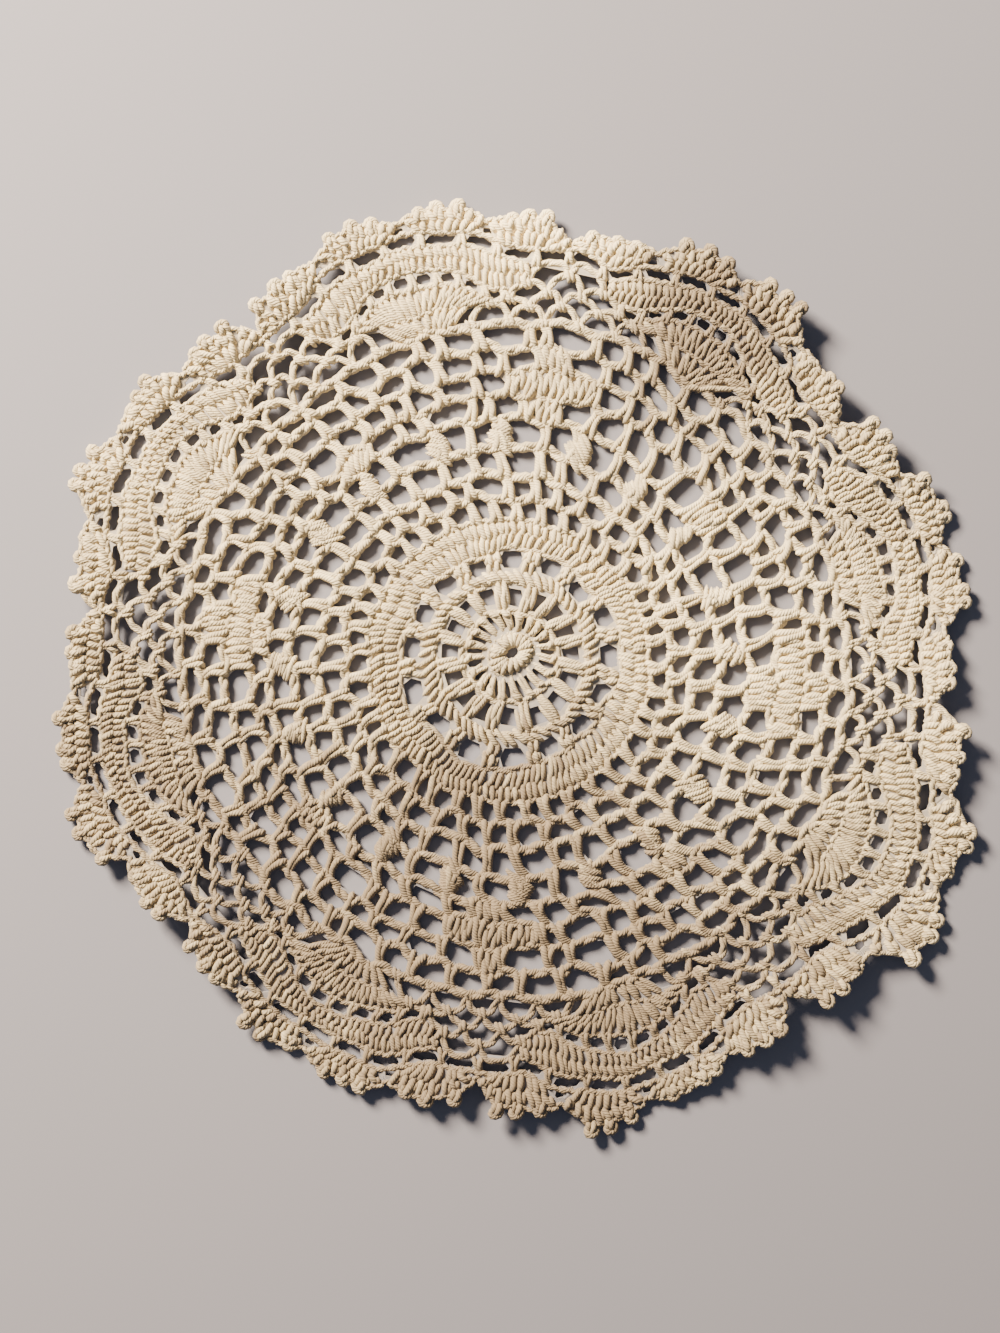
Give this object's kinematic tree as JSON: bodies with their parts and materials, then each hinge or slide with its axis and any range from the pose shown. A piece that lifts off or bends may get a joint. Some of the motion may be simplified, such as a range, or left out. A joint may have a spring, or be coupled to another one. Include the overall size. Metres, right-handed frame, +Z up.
{
  "type": "lace doily",
  "caption": "Round crocheted doily of thick cotton yarn: a ring centre, open filet net and petals with a shell and picot edge, laid flat.",
  "frame": {"origin": "a point on the flat underside of the cloth, at the middle of its net rounds, on the surface that it lies on", "axes": "+Z up out of the face of the cloth, +Y towards the petal that is at the top in the picture, +X to its right"},
  "size_m": [0.3815, 0.3863, 0.0118],
  "materials": {
    "cotton_yarn": "matt ecru mercerised cotton yarn, crocheted"
  },
  "bodies": {
    "root": {"doily": "cotton_yarn"}
  },
  "joints": []
}
